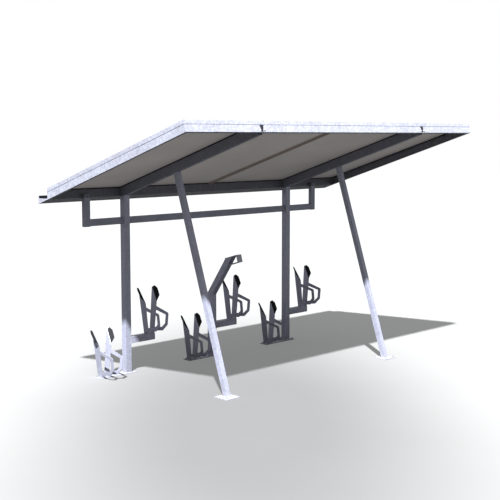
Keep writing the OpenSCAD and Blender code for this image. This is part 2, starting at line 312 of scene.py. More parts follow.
def add_node(tree, kind, inputs=(), **settings):
    """A node with its settings, and its inputs fed by name or place."""
    node = tree.nodes.new(kind)
    for name, value in settings.items():
        setattr(node, name, value)
    for key, value in dict(inputs).items():
        feed(tree, node.inputs[key], value)
    return node


def math_node(tree, operation, *values, clamp=False):
    """A Math node whose inputs are numbers or sockets."""
    node = add_node(tree, "ShaderNodeMath", enumerate(values), operation=operation,
                    use_clamp=clamp)
    return node.outputs[0]


def spread(tree, value, low, high, start=0.0, end=1.0):
    """Maps a value between start and end to the range from low to high."""
    node = add_node(tree, "ShaderNodeMapRange", {
        "Value": value, "From Min": start, "From Max": end, "To Min": low, "To Max": high})
    return node.outputs["Result"]


def brighten(tree, colour, factor):
    """Multiplies a colour by a number or a socket."""
    inputs = {0: colour, "Scale": factor}
    return add_node(tree, "ShaderNodeVectorMath", inputs, operation="SCALE").outputs[0]


def mix_colours(tree, factor, first, second):
    """Mixes two colours, each given as a socket or as numbers."""
    inputs = {0: factor, 6: first, 7: second}
    return add_node(tree, "ShaderNodeMix", inputs, data_type="RGBA").outputs[2]


def object_place(tree):
    """The object coordinates."""
    return add_node(tree, "ShaderNodeTexCoord").outputs["Object"]


def object_axes(tree):
    """The object coordinates, with a socket for each axis."""
    return add_node(tree, "ShaderNodeSeparateXYZ", {0: object_place(tree)}).outputs


def noise(tree, scale, detail, stretch=(1, 1, 1)):
    """Noise on object coordinates, scaled along each axis."""
    place = add_node(tree, "ShaderNodeMapping", {"Vector": object_place(tree), "Scale": stretch})
    texture = add_node(tree, "ShaderNodeTexNoise", {
        "Vector": place.outputs["Vector"], "Scale": scale, "Detail": detail})
    return texture.outputs["Fac"]


def build_spangle_group():
    """Zinc crystals of uneven brightness, with fine grain and dull patches."""
    tree, given, made = new_group(
        "zinc_spangle",
        [("Colour", "colour", (0.6, 0.6, 0.65, 1)), ("Density", "value", 60.0),
         ("Contrast", "value", 0.2), ("Roughness", "value", 0.45)],
        [("Colour", "colour"), ("Roughness", "value"), ("Height", "value")])
    cells = add_node(tree, "ShaderNodeTexVoronoi", {
        "Vector": object_place(tree), "Scale": given.outputs["Density"]})
    split = add_node(tree, "ShaderNodeSeparateColor", {"Color": cells.outputs["Color"]})
    bloom = noise(tree, 3.5, 3)
    grain = noise(tree, 240.0, 2)
    swing = math_node(tree, "SUBTRACT", split.outputs[0], 0.5)
    swing = math_node(tree, "MULTIPLY", swing, given.outputs["Contrast"])
    cloud = spread(tree, bloom, -0.16, 0.16)
    level = math_node(tree, "ADD", math_node(tree, "ADD", swing, cloud), 1.0)
    level = math_node(tree, "ADD", level, spread(tree, grain, -0.05, 0.05))
    colour = brighten(tree, given.outputs["Colour"], level)
    violet = brighten(tree, colour, 0.96)
    tinted = mix_colours(tree, split.outputs[1], colour, violet)
    rough = math_node(
        tree, "ADD", given.outputs["Roughness"],
        math_node(tree, "MULTIPLY", math_node(tree, "SUBTRACT", split.outputs[2], 0.5), 0.22))
    height = math_node(tree, "ADD", math_node(tree, "MULTIPLY", split.outputs[0], 0.35),
                       math_node(tree, "MULTIPLY", grain, 0.65))
    tree.links.new(tinted, made.inputs["Colour"])
    tree.links.new(rough, made.inputs["Roughness"])
    tree.links.new(height, made.inputs["Height"])


def build_dust_group():
    """Dust and splash stains, most of them near the ground, and faint run marks."""
    tree, given, made = new_group(
        "weather_stain",
        [("Colour", "colour", (0.5, 0.5, 0.5, 1)), ("Stain", "value", 0.35)],
        [("Colour", "colour"), ("Mask", "value")])
    low = spread(tree, object_axes(tree)["Z"], 1.0, 0.0, end=SPLASH_HEIGHT)
    patch = noise(tree, 26.0, 4)
    runs = noise(tree, 30.0, 3, (1, 1, 0.06))
    near = math_node(tree, "MULTIPLY", low, spread(tree, patch, 0.0, 1.6), clamp=True)
    streak = math_node(tree, "MULTIPLY", spread(tree, runs, -1.2, 2.0), 0.35, clamp=True)
    mask = math_node(tree, "MULTIPLY", math_node(tree, "ADD", near, streak, clamp=True),
                     given.outputs["Stain"])
    dimmed = mix_colours(tree, mask, given.outputs["Colour"], DUST)
    tree.links.new(dimmed, made.inputs["Colour"])
    tree.links.new(mask, made.inputs["Mask"])


def build_shelter_group():
    """Masks of the faces inside the roof's frame, where shade is painted, and of those on top."""
    tree, _, made = new_group("painted_shade_and_top", [], [("Mask", "value"), ("Top", "value")])
    axes = object_axes(tree)
    drop = math_node(tree, "SUBTRACT", axes["Z"], RISE)
    down = math_node(tree, "SUBTRACT",
                     math_node(tree, "MULTIPLY", axes["Y"], math.cos(PITCH)),
                     math_node(tree, "MULTIPLY", drop, math.sin(PITCH)))
    square = math_node(tree, "ADD",
                       math_node(tree, "MULTIPLY", axes["Y"], math.sin(PITCH)),
                       math_node(tree, "MULTIPLY", drop, math.cos(PITCH)))
    across = math_node(tree, "ABSOLUTE", axes["X"])
    # the limits stand a little off the faces, so that no face lies on one
    wall, face = 0.0015, 0.0008
    mask = math_node(tree, "LESS_THAN", across, ROOF_HALF - SHEET - wall)
    for test in (
        math_node(tree, "GREATER_THAN", down, wall + SHEET - ROOF_REACH),
        math_node(tree, "GREATER_THAN", square, RAFTER_UNDER - 2 * wall),
        math_node(tree, "LESS_THAN", square, FRAME_DEPTH - face),
    ):
        mask = math_node(tree, "MULTIPLY", mask, test)
    tree.links.new(mask, made.inputs["Mask"])
    top = math_node(tree, "GREATER_THAN", square, FRAME_DEPTH + BOARD - face)
    tree.links.new(top, made.inputs["Top"])


def use_group(tree, name, **values):
    """A shader group in a material, with its own values."""
    return add_node(tree, "ShaderNodeGroup", values,
                    node_tree=bpy.data.node_groups[name]).outputs


def new_material(name):
    """The tree and the Principled shader of a new material."""
    material = bpy.data.materials.new(name)
    material.use_nodes = True
    return material.node_tree, material.node_tree.nodes["Principled BSDF"]


def bump(tree, shader, height, strength, distance):
    """Gives a shader the relief of a height."""
    node = add_node(tree, "ShaderNodeBump", {
        "Height": height, "Strength": strength, "Distance": distance})
    tree.links.new(node.outputs["Normal"], shader.inputs["Normal"])


def zinc_material(name, colour, crystal, contrast, roughness, metallic, stain):
    """Hot-dip galvanised steel, with painted shade inside the roof's frame."""
    tree, shader = new_material(name)
    spangle = use_group(tree, "zinc_spangle", Colour=colour, Density=1 / crystal,
                        Contrast=contrast, Roughness=roughness)
    # painted shade: faces inside the roof's frame are darkened to 0.48 of their colour
    painted_roof_shade = use_group(tree, "painted_shade_and_top")["Mask"]
    dimmed = brighten(tree, spangle["Colour"], spread(tree, painted_roof_shade, 1.0, 0.48))
    dust = use_group(tree, "weather_stain", Colour=dimmed, Stain=stain)
    tree.links.new(dust["Colour"], shader.inputs["Base Color"])
    tree.links.new(spangle["Roughness"], shader.inputs["Roughness"])
    shader.inputs["Metallic"].default_value = metallic
    shader.inputs["Specular IOR Level"].default_value = 0.5
    bump(tree, shader, spangle["Height"], 0.25, 0.0006)


def board_material(name, colour, top):
    """A coated board: even, slightly cloudy, with a fine fleece grain and a darker top."""
    tree, shader = new_material(name)
    cloud = noise(tree, 1.6, 3)
    fleece = noise(tree, 420.0, 3, (1, 0.3, 1))
    level = math_node(tree, "ADD", spread(tree, cloud, 0.86, 1.12),
                      spread(tree, fleece, -0.06, 0.06))
    base = mix_colours(tree, use_group(tree, "painted_shade_and_top")["Top"], colour, top)
    tree.links.new(brighten(tree, base, level), shader.inputs["Base Color"])
    tree.links.new(spread(tree, cloud, 0.5, 0.68), shader.inputs["Roughness"])
    bump(tree, shader, fleece, 0.2, 0.0004)


def moulded_material(name, colour, roughness, scale):
    """Moulded rubber or plastic with a fine texture and scuffs."""
    tree, shader = new_material(name)
    grain = noise(tree, scale, 3)
    scuff = noise(tree, 38.0, 5)
    worn = math_node(tree, "POWER", scuff, 5.0, clamp=True)
    colours = mix_colours(tree, math_node(tree, "MULTIPLY", worn, 3.0, clamp=True), colour,
                          tuple(c * 1.8 + 0.01 for c in colour))
    tree.links.new(brighten(tree, colours, spread(tree, grain, 0.85, 1.15)),
                   shader.inputs["Base Color"])
    tree.links.new(spread(tree, scuff, roughness - 0.1, roughness + 0.12),
                   shader.inputs["Roughness"])
    shader.inputs["Specular IOR Level"].default_value = 0.06
    bump(tree, shader, grain, 0.3, 0.0003)


def shade(colour, *factors):
    """A colour with its three numbers multiplied, by one factor or by one each."""
    if len(factors) == 1:
        factors = factors * 3
    return tuple(number * factor for number, factor in zip(colour, factors))


def make_materials():
    """Builds the shader groups and every material once."""
    finish = bpy.context.scene.shelter_finish
    build_spangle_group()
    build_dust_group()
    build_shelter_group()
    tube, sheet = tuple(finish.tube_zinc), tuple(finish.sheet_zinc)
    crystal = finish.spangle
    # name, colour, crystal, contrast, roughness, metallic, stain
    for steel in (
        ("galvanised_tube", tube, crystal, 0.22, 0.46, 0.35, 0.30),
        ("galvanised_sheet", sheet, crystal, 0.34, 0.40, 0.30, 0.16),
        ("galvanised_plate", sheet, crystal * 0.8, 0.18, 0.50, 0.25, 0.25),
        ("galvanised_holder", tube, crystal * 0.7, 0.20, 0.44, 0.35, 0.30),
        # painted shade: the tube zinc darkened to 0.78, with more dust, for the rails and hangers
        ("tube_zinc_painted_shade", shade(tube, 0.78), crystal, 0.22, 0.46, 0.35, 0.40),
        # painted shade: the sheet zinc darkened to 0.55, with more dust, for the gutter and the
        # joint cover
        ("sheet_zinc_painted_shade", shade(sheet, 0.55), crystal, 0.26, 0.44, 0.30, 0.5),
        ("bolt_zinc", (0.62, 0.62, 0.60), 0.004, 0.12, 0.32, 0.80, 0.20),
        ("weld_zinc", (0.42, 0.42, 0.45), 0.006, 0.25, 0.55, 0.40, 0.25),
    ):
        zinc_material(*steel)
    board, top = tuple(finish.board), tuple(finish.roof_top)
    board_material("coated_board", board, top)
    board_material("coated_bar", shade(board, 0.52, 0.46, 0.44), top)
    # painted shade: the near-black rubber of the leaf sleeves and of the beads under the boards
    moulded_material("painted_shade_rubber", tuple(finish.rubber), 0.80, 900.0)
    moulded_material("plug_plastic", tuple(finish.plastic), 0.48, 700.0)


# ---- mesh helpers ----


def add_object(name, mesh, material=None):
    """Links a mesh as an object at the origin."""
    obj = bpy.data.objects.new(name, mesh)
    bpy.context.scene.collection.objects.link(obj)
    if material:
        mesh.materials.clear()
        mesh.materials.append(bpy.data.materials[material])
    return obj


def keep_piece(obj):
    """Lets a piece ride on the shelter."""
    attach(obj, "root")


def prism(shape, outlines):
    """A closed solid between two outlines with the same number of points."""
    first, last = [[shape.verts.new(point) for point in outline] for outline in outlines]
    count = len(first)
    for i in range(count):
        j = (i + 1) % count
        shape.faces.new((first[i], first[j], last[j], last[i]))
    shape.faces.new(first)
    shape.faces.new(last)
    bmesh.ops.recalc_face_normals(shape, faces=shape.faces)


def add_to(shape, made):
    """Moves what was made into the shape of a whole piece."""
    mesh = bpy.data.meshes.new("made")
    made.to_mesh(mesh)
    made.free()
    shape.from_mesh(mesh)
    bpy.data.meshes.remove(mesh)


def finish_piece(name, shape, material):
    """Turns a shape into a piece with outward faces."""
    bmesh.ops.recalc_face_normals(shape, faces=shape.faces)
    mesh = bpy.data.meshes.new(name)
    shape.to_mesh(mesh)
    shape.free()
    keep_piece(add_object(name, mesh, material))


def bake_nodes(obj, tree, values):
    """Runs a geometry tree on an object and keeps its plain mesh."""
    modifier = obj.modifiers.new("build", "NODES")
    modifier.node_group = tree
    names = {
        item.name: item.identifier
        for item in tree.interface.items_tree
        if item.item_type == "SOCKET" and item.in_out == "INPUT"
    }
    for label, value in values.items():
        modifier[names[label]] = value
    obj.update_tag()
    graph = bpy.context.evaluated_depsgraph_get()
    mesh = bpy.data.meshes.new_from_object(obj.evaluated_get(graph), depsgraph=graph)
    obj.modifiers.remove(modifier)
    old = obj.data
    obj.data = mesh
    bpy.data.meshes.remove(old)
    return obj


def new_tree(name, inputs):
    """A geometry tree with a geometry in and out, and named sizes."""
    tree = bpy.data.node_groups.new(name, "GeometryNodeTree")
    tree.interface.new_socket("Geometry", in_out="INPUT", socket_type="NodeSocketGeometry")
    for label, default in inputs:
        kind = "NodeSocketInt" if isinstance(default, int) else "NodeSocketFloat"
        socket = tree.interface.new_socket(label, in_out="INPUT", socket_type=kind)
        socket.default_value = default
    tree.interface.new_socket("Geometry", in_out="OUTPUT", socket_type="NodeSocketGeometry")
    return tree, tree.nodes.new("NodeGroupInput"), tree.nodes.new("NodeGroupOutput")


def end_tree(tree, geometry, made, material):
    """Ends a tree with real geometry and its material."""
    real = add_node(tree, "GeometryNodeRealizeInstances", {"Geometry": geometry})
    paint = add_node(tree, "GeometryNodeSetMaterial", {
        "Geometry": real.outputs["Geometry"], "Material": bpy.data.materials[material]})
    tree.links.new(paint.outputs["Geometry"], made.inputs["Geometry"])


def drum(tree, sides, low, high, radius, top=None):
    """A prism or a truncated cone between two heights, which are sockets."""
    depth = math_node(tree, "SUBTRACT", high, low)
    inputs = {"Vertices": sides, "Depth": depth}
    if top is None:
        node = add_node(tree, "GeometryNodeMeshCylinder", {**inputs, "Radius": radius})
        middle = math_node(tree, "MULTIPLY", math_node(tree, "ADD", high, low), 0.5)
    else:
        node = add_node(tree, "GeometryNodeMeshCone", {
            **inputs, "Radius Bottom": radius, "Radius Top": top})
        middle = low
    offset = add_node(tree, "ShaderNodeCombineXYZ", {"Z": middle})
    move = add_node(tree, "GeometryNodeTransform", {
        "Geometry": node.outputs["Mesh"], "Translation": offset.outputs[0]})
    return move.outputs["Geometry"]


def build_fixing_tree():
    """A washer, a hexagon with a turned top and a thread end at each point."""
    tree, given, made = new_tree("fixing", [
        ("Washer radius", 0.012), ("Washer height", 0.0025), ("Head radius", 0.010),
        ("Head height", 0.010), ("Thread radius", 0.006), ("Thread height", 0.008),
        ("Seed", 1)])
    size = given.outputs
    washer_top = size["Washer height"]
    base = math_node(tree, "MULTIPLY", washer_top, -0.1)
    head_top = math_node(tree, "ADD", washer_top, size["Head height"])
    turned_top = math_node(tree, "ADD", head_top, math_node(
        tree, "MULTIPLY", size["Head height"], 0.12))
    thread_top = math_node(tree, "ADD", turned_top, size["Thread height"])
    tip_top = math_node(tree, "ADD", thread_top, math_node(
        tree, "MULTIPLY", size["Thread radius"], 0.3))
    wide = math_node(tree, "MULTIPLY", size["Head radius"], 0.87)
    narrow = math_node(tree, "MULTIPLY", size["Head radius"], 0.74)
    tip = math_node(tree, "MULTIPLY", size["Thread radius"], 0.7)
    join = tree.nodes.new("GeometryNodeJoinGeometry")
    for part in (
        drum(tree, 20, base, washer_top, size["Washer radius"]),
        drum(tree, 6, washer_top, head_top, size["Head radius"]),
        drum(tree, 18, head_top, turned_top, wide, narrow),
        drum(tree, 14, washer_top, thread_top, size["Thread radius"]),
        drum(tree, 14, thread_top, tip_top, size["Thread radius"], tip),
    ):
        tree.links.new(part, join.inputs["Geometry"])
    facing = add_node(tree, "GeometryNodeInputNamedAttribute", {"Name": "facing"},
                      data_type="FLOAT_VECTOR")
    align = add_node(tree, "FunctionNodeAlignRotationToVector", {
        "Vector": facing.outputs["Attribute"]}, axis="Z")
    chance = add_node(tree, "FunctionNodeRandomValue", {
        "Max": math.tau, "Seed": size["Seed"]}, data_type="FLOAT")
    spin = add_node(tree, "FunctionNodeAxisAngleToRotation", {
        "Axis": (0, 0, 1), "Angle": chance.outputs["Value"]})
    turn = add_node(tree, "FunctionNodeRotateRotation", {
        "Rotation": align.outputs["Rotation"], "Rotate By": spin.outputs["Rotation"]},
        rotation_space="LOCAL")
    scatter = add_node(tree, "GeometryNodeInstanceOnPoints", {
        "Points": size["Geometry"], "Instance": join.outputs["Geometry"],
        "Rotation": turn.outputs["Rotation"]})
    end_tree(tree, scatter.outputs["Instances"], made, "bolt_zinc")


def build_bead_tree(name, material):
    """A rippled bead along each path."""
    tree, given, made = new_tree(name, [
        ("Radius", 0.0032), ("Step", 0.0022), ("Ripple", 0.22), ("Ripple length", 0.007)])
    size = given.outputs
    paths = add_node(tree, "GeometryNodeMeshToCurve", {"Mesh": size["Geometry"]})
    even = add_node(tree, "GeometryNodeResampleCurve", {
        "Curve": paths.outputs["Curve"], "Length": size["Step"]}, mode="LENGTH")
    along = add_node(tree, "GeometryNodeSplineParameter")
    phase = math_node(tree, "DIVIDE", along.outputs["Length"], size["Ripple length"])
    wave = math_node(tree, "SINE", math_node(tree, "MULTIPLY", phase, math.tau))
    swell = math_node(tree, "ADD", 1.0, math_node(tree, "MULTIPLY", wave, size["Ripple"]))
    ring = add_node(tree, "GeometryNodeCurvePrimitiveCircle", {
        "Resolution": 8, "Radius": size["Radius"]})
    skin = add_node(tree, "GeometryNodeCurveToMesh", {
        "Curve": even.outputs["Curve"], "Profile Curve": ring.outputs["Curve"],
        "Scale": swell, "Fill Caps": True})
    smooth = add_node(tree, "GeometryNodeSetShadeSmooth", {"Geometry": skin.outputs["Mesh"]})
    end_tree(tree, smooth.outputs["Geometry"], made, material)


def fixings(name, places, sizes):
    """Fixings at (point, facing) places, as one piece."""
    mesh = bpy.data.meshes.new(name)
    mesh.from_pydata([tuple(point) for point, _ in places], [], [])
    facing = mesh.attributes.new("facing", "FLOAT_VECTOR", "POINT")
    for item, (_, direction) in zip(facing.data, places):
        item.vector = direction
    tree = bpy.data.node_groups["fixing"]
    keep_piece(bake_nodes(add_object(name, mesh), tree, sizes))


def beads(name, tree, paths, sizes):
    """Beads along (points, closed) paths, as one piece."""
    points, edges = [], []
    for path, closed in paths:
        start = len(points)
        points += [tuple(point) for point in path]
        edges += [(i, i + 1) for i in range(start, len(points) - 1)]
        if closed:
            edges.append((len(points) - 1, start))
    mesh = bpy.data.meshes.new(name)
    mesh.from_pydata(points, edges, [])
    keep_piece(bake_nodes(add_object(name, mesh), bpy.data.node_groups[tree], sizes))


def bolt_sizes(diameter, thread, seed, washer=2.1, head=0.95):
    """Usual proportions for a bolt or nut of a thread diameter."""
    return {
        "Washer radius": diameter * washer / 2, "Washer height": diameter * 0.2,
        "Head radius": diameter * head, "Head height": diameter * 0.75,
        "Thread radius": diameter / 2 if thread else diameter * 0.3,
        "Thread height": thread, "Seed": seed,
    }


def stations(start, end, spacing):
    """Even places between two ends, at about the given spacing."""
    count = max(1, round(abs(end - start) / spacing))
    return [start + (end - start) * i / count for i in range(count + 1)]


def side_welds(side):
    """The paths of the welds at one side's strut, post, rail and hanger."""
    low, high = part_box(f"strut_{side}")
    width = high.x - low.x
    foot = on_slope(0, -STRUT_REACH, 0)
    middle = foot.y - (foot.z - low.z) * math.tan(PITCH)
    half = width / 2 / math.cos(PITCH)
    paths = [
        ([Vector((x, y, low.z))
          for x, y in corners(low.x, high.x, middle - half, middle + half)], True),
        ([on_slope(x, down, RAFTER_UNDER) for x, down in corners(
            low.x, high.x, -STRUT_REACH - width / 2, -STRUT_REACH + width / 2)], True),
    ]
    post_low, post_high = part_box(f"post_{side}")
    under = RISE + RAFTER_UNDER / math.cos(PITCH)
    for x in (low.x, high.x):
        paths.append(([Vector((x, y, under - y * math.tan(PITCH)))
                       for y in (post_low.y, post_high.y)], False))
    low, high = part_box(f"rail_{side}")
    for x in (low.x, high.x):
        paths.append(tube_rim(x, low, high))
    low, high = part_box(f"hanger_{side}")
    paths.append(([Vector((x, high.y, high.z)) for x in (low.x, high.x)], False))
    return paths


# ---- outlines of the leaves, as in the source ----


def rounded(points, steps=5):
    """A closed outline from (x, y, radius) corners, with the corners rounded."""
    outline = []
    count = len(points)
    for i, (x, y, radius) in enumerate(points):
        corner = Vector((x, y))
        if radius == 0:
            outline.append(corner)
            continue
        before = (Vector(points[i - 1][:2]) - corner).normalized()
        after = (Vector(points[(i + 1) % count][:2]) - corner).normalized()
        half = math.acos(max(-1, min(1, before.dot(after)))) / 2
        centre = corner + (before + after).normalized() * radius / math.sin(half)
        start = corner + before * radius / math.tan(half) - centre
        cross = before.x * after.y - before.y * after.x
        turn = (-1 if cross > 0 else 1) * (math.pi - 2 * half)
        for k in range(steps + 1):
            outline.append(centre + Matrix.Rotation(turn * k / steps, 2) @ start)
    return outline


def leaf_frame(holder, mirrored):
    """The matrix from a leaf's own plane to the shelter, and the fold's length."""
    edge = CHEEK_DEPTH / 2
    run = 2 * edge + CHEEK_BACK - 0.002
    rise = CHEEK_HEIGHT - LEAF_START
    cheek = Matrix.Rotation(-FLARE, 4, "Y") @ Matrix.Rotation(
        math.radians(-90), 4, "Z") @ Matrix.Rotation(math.radians(90), 4, "X")
    # an outline's x runs to the front, its y up and its z outwards
    place = Matrix.Translation((-CHEEK_GAP / 2, 0, 0)) @ cheek
    leaf = (Matrix.Translation((edge, LEAF_START, 0))
            @ Matrix.Rotation(math.atan2(rise, -run), 4, "Z")
            @ Matrix.Rotation(-LEAF_FOLD, 4, "X"))
    flip = Matrix.Diagonal((-1 if mirrored else 1, 1, 1, 1))
    stand = Matrix.Translation((middle_x(holder), 0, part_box(holder)[0].z))
    return stand @ flip @ place @ leaf, math.hypot(run, rise)


# ---- stage ----


def make_floor():
    """A wide pale floor with painted shade that greys it near the shelter; it throws back little
    light.
    """
    tree, shader = new_material("floor_paint")
    place = object_place(tree)
    shares = []
    for axis, reach in SHADE_REACHES:
        shift = add_node(tree, "ShaderNodeVectorMath", {0: place, 1: SHADE_CENTRE},
                         operation="SUBTRACT")
        dot = add_node(tree, "ShaderNodeVectorMath", {0: shift.outputs[0], 1: axis},
                       operation="DOT_PRODUCT")
        part = math_node(tree, "DIVIDE", dot.outputs["Value"], reach)
        shares.append(math_node(tree, "MULTIPLY", part, part))
    away = math_node(tree, "SQRT", math_node(tree, "ADD", *shares))
    ramp = spread(tree, away, 0.0, 1.0, *SHADE_FADE)
    ramp.node.interpolation_type = "SMOOTHSTEP"
    cloud = spread(tree, noise(tree, 0.5, 2), -0.06, 0.06)
    tone = math_node(tree, "ADD", ramp, cloud, clamp=True)
    seen = add_node(tree, "ShaderNodeLightPath").outputs["Is Camera Ray"]
    # painted shade: the floor's colour greys towards the shelter
    pale = mix_colours(tree, tone, FLOOR_PAINTED_SHADE, FLOOR_FAR)
    tree.links.new(mix_colours(tree, seen, FLOOR_THROWN, pale), shader.inputs["Base Color"])
    shader.inputs["Roughness"].default_value = 0.9
    shader.inputs["Specular IOR Level"].default_value = 0.0
    # a faint glow that only the camera sees
    shader.inputs["Emission Color"].default_value = (0.985, 1.0, 1.0, 1)
    glow = math_node(tree, "MULTIPLY", seen, FLOOR_GLOW)
    tree.links.new(glow, shader.inputs["Emission Strength"])
    mesh = bpy.data.meshes.new("floor")
    sides = corners(-FLOOR_REACH, FLOOR_REACH, -FLOOR_REACH, FLOOR_REACH)
    mesh.from_pydata([(x, y, 0) for x, y in sides], [], [(0, 1, 2, 3)])
    add_object("floor", mesh, "floor_paint")


def make_light(stage):
    """A hard sun, and a sky that is white to the eye and softer as a light."""
    sun = bpy.data.lights.new("sun", "SUN")
    sun.energy = stage.sun
    sun.angle = SUN_WIDTH
    sun.color = SUN_COLOUR
    lamp = bpy.data.objects.new("sun", sun)
    lamp.rotation_mode = "QUATERNION"
    lamp.rotation_quaternion = Vector(SUN_PATH).to_track_quat("-Z", "Y")
    bpy.context.scene.collection.objects.link(lamp)
    world = bpy.data.worlds.new("sky")
    bpy.context.scene.world = world
    world.use_nodes = True
    tree = world.node_tree
    tree.nodes.clear()
    seen = add_node(tree, "ShaderNodeLightPath").outputs["Is Camera Ray"]
    mix = add_node(tree, "ShaderNodeMixShader", {0: seen})
    for index, colour, strength in ((1, SKY_COLOUR, stage.sky), (2, WHITE, 1.0)):
        light = add_node(tree, "ShaderNodeBackground", {"Color": colour, "Strength": strength})
        tree.links.new(light.outputs[0], mix.inputs[index])
    add_node(tree, "ShaderNodeOutputWorld", {"Surface": mix.outputs[0]})


def make_camera(stage):
    """The camera in front of the shelter, to its left."""
    camera = bpy.data.cameras.new("camera")
    camera.lens = stage.lens
    camera.sensor_width = 36.0
    camera.clip_end = 300.0
    turn, tilt = stage.azimuth, stage.elevation
    back = Vector((
        math.sin(turn) * math.cos(tilt),
        -math.cos(turn) * math.cos(tilt),
        math.sin(tilt),
    ))
    holder = bpy.data.objects.new("camera", camera)
    holder.location = stage.place
    holder.rotation_mode = "QUATERNION"
    holder.rotation_quaternion = (-back).to_track_quat("-Z", "Y")
    bpy.context.scene.collection.objects.link(holder)
    bpy.context.scene.camera = holder


# ---- operators ----


class SHELTER_OT_finish_frame(bpy.types.Operator):
    """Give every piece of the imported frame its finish"""

    bl_idname = "shelter.finish_frame"
    bl_label = "Finish the frame"

    def execute(self, context):
        make_materials()
        finish_of = {name: finish for finish, names in FINISHES.items() for name in names}
        for name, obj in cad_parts.items():
            if not obj.material_slots:
                obj.data.materials.append(None)
            for slot in obj.material_slots:
                slot.material = bpy.data.materials[finish_of.get(name, "galvanised_sheet")]
        build_fixing_tree()
        build_bead_tree("weld_bead", "weld_zinc")
        # dark beads of painted shade along the roof's inner edges
        build_bead_tree("painted_shade_bead", "painted_shade_rubber")
        return {"FINISHED"}


class SHELTER_OT_ground_anchors(bpy.types.Operator):
    """Nuts, washers and thread ends in the plates' holes"""

    bl_idname = "shelter.ground_anchors"
    bl_label = "Ground anchors"

    def execute(self, context):
        sizes = context.scene.shelter_hardware
        places = []
        for plate in GROUND_PLATES:
            low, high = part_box(plate)
            for x in (low.x + HOLE_EDGE, high.x - HOLE_EDGE):
                for y in (low.y + HOLE_EDGE, high.y - HOLE_EDGE):
                    places.append((Vector((x, y, high.z)), Vector((0, 0, 1))))
        fixings("ground_anchors", places, bolt_sizes(sizes.anchor, 0.008, sizes.seed))
        return {"FINISHED"}


class SHELTER_OT_holder_bolts(bpy.types.Operator):
    """Bolts that hold the wheel holders on plates and arms"""

    bl_idname = "shelter.holder_bolts"
    bl_label = "Holder bolts"

    def execute(self, context):
        sizes = context.scene.shelter_hardware
        places = []
        for holder in HOLDERS:
            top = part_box(holder)[0].z + CHEEK_PLATE
            for y in (-CHEEK_DEPTH / 4, CHEEK_DEPTH / 4):
                places.append((Vector((middle_x(holder), y, top)), Vector((0, 0, 1))))
        fixings("holder_bolts", places, bolt_sizes(sizes.foot_bolt, 0.0, sizes.seed + 1))
        return {"FINISHED"}


class SHELTER_OT_frame_bolts(bpy.types.Operator):
    """Bolts beside the notches of the front beam and through the hangers"""

    bl_idname = "shelter.frame_bolts"
    bl_label = "Frame bolts"

    def execute(self, context):
        seed = context.scene.shelter_hardware.seed + 2
        beside, above, inward, below = 0.030, 0.020, 0.025, 0.022
        places = []
        for side in SIDES:
            middle = middle_x(f"rafter_{side}")
            for x in (middle - beside, middle + beside):
                places.append((on_slope(x, SHEET - ROOF_REACH, above), SLOPE_FRONT))
            low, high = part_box(f"hanger_{side}")
            for x in (low.x + inward, high.x - inward):
                places.append((Vector((x, low.y, high.z - below)), Vector((0, -1, 0))))
        fixings("frame_bolts", places, bolt_sizes(FRAME_BOLT, 0.0, seed))
        return {"FINISHED"}


class SHELTER_OT_roof_screws(bpy.types.Operator):
    """Screws through the roof panels, the edge trim and the joint cover"""

    bl_idname = "shelter.roof_screws"
    bl_label = "Roof screws"

    def execute(self, context):
        sizes = context.scene.shelter_hardware
        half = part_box("roof_panel_right")[1].x
        front, back = SHEET - ROOF_REACH, -0.02
        top = FRAME_DEPTH + BOARD
        cover, cover_top = 0.018, top + 0.002
        inset, corner = 0.025, half - 0.25
        trim = half - inset
        first, last = front + 0.15, back - 0.06
        places = []
        for down in stations(first, last, sizes.screw_pitch):
            for side in SIDES:
                places.append((on_slope(middle_x(f"rafter_{side}"), down, top), SLOPE_UP))
            for x in (-cover, cover):
                places.append((on_slope(x, down, cover_top), SLOPE_UP))
            for x in (-trim, trim):
                places.append((on_slope(x, down, TRIM_TOP), SLOPE_UP))
        for x in stations(-corner, corner, sizes.screw_pitch * 1.4):
            places.append((on_slope(x, front + inset, TRIM_TOP), SLOPE_UP))
        fixings("roof_screws", places,
                bolt_sizes(sizes.roof_screw, 0.0, sizes.seed + 3, washer=2.9))
        return {"FINISHED"}


class SHELTER_OT_trim_rivets(bpy.types.Operator):
    """Small domed rivets along the edge trim's outer faces"""

    bl_idname = "shelter.trim_rivets"
    bl_label = "Trim rivets"

    def execute(self, context):
        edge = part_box("trim_front")[1].x
        level = TRIM_TOP - TRIM_DROP * 0.55
        inset = 0.12
        places = []
        for x in stations(inset - edge, edge - inset, RIVET_PITCH):
            places.append((on_slope(x, -ROOF_REACH, level), SLOPE_FRONT))
        for down in stations(inset - ROOF_REACH, -0.10, RIVET_PITCH):
            for side in (-1, 1):
                places.append((on_slope(side * edge, down, level), Vector((side, 0, 0))))
        seed = context.scene.shelter_hardware.seed
        fixings("trim_rivets", places, {**RIVET, "Seed": seed})
        return {"FINISHED"}


class SHELTER_OT_joint_cover(bpy.types.Operator):
    """A folded strip over the joint of the two panels"""

    bl_idname = "shelter.joint_cover"
    bl_label = "Joint cover"

    def execute(self, context):
        ends = (0.060 - ROOF_REACH, 0.022)
        top = FRAME_DEPTH + BOARD
        profile = [*COVER_PROFILE, *((-x, z) for x, z in reversed(COVER_PROFILE))]
        shape = bmesh.new()
        prism(shape, [[on_slope(x, down, top + z) for x, z in profile] for down in ends])
        # the joint cover has the darker copy of the sheet zinc that paints the gutter's shade
        finish_piece("joint_cover", shape, "sheet_zinc_painted_shade")
        return {"FINISHED"}


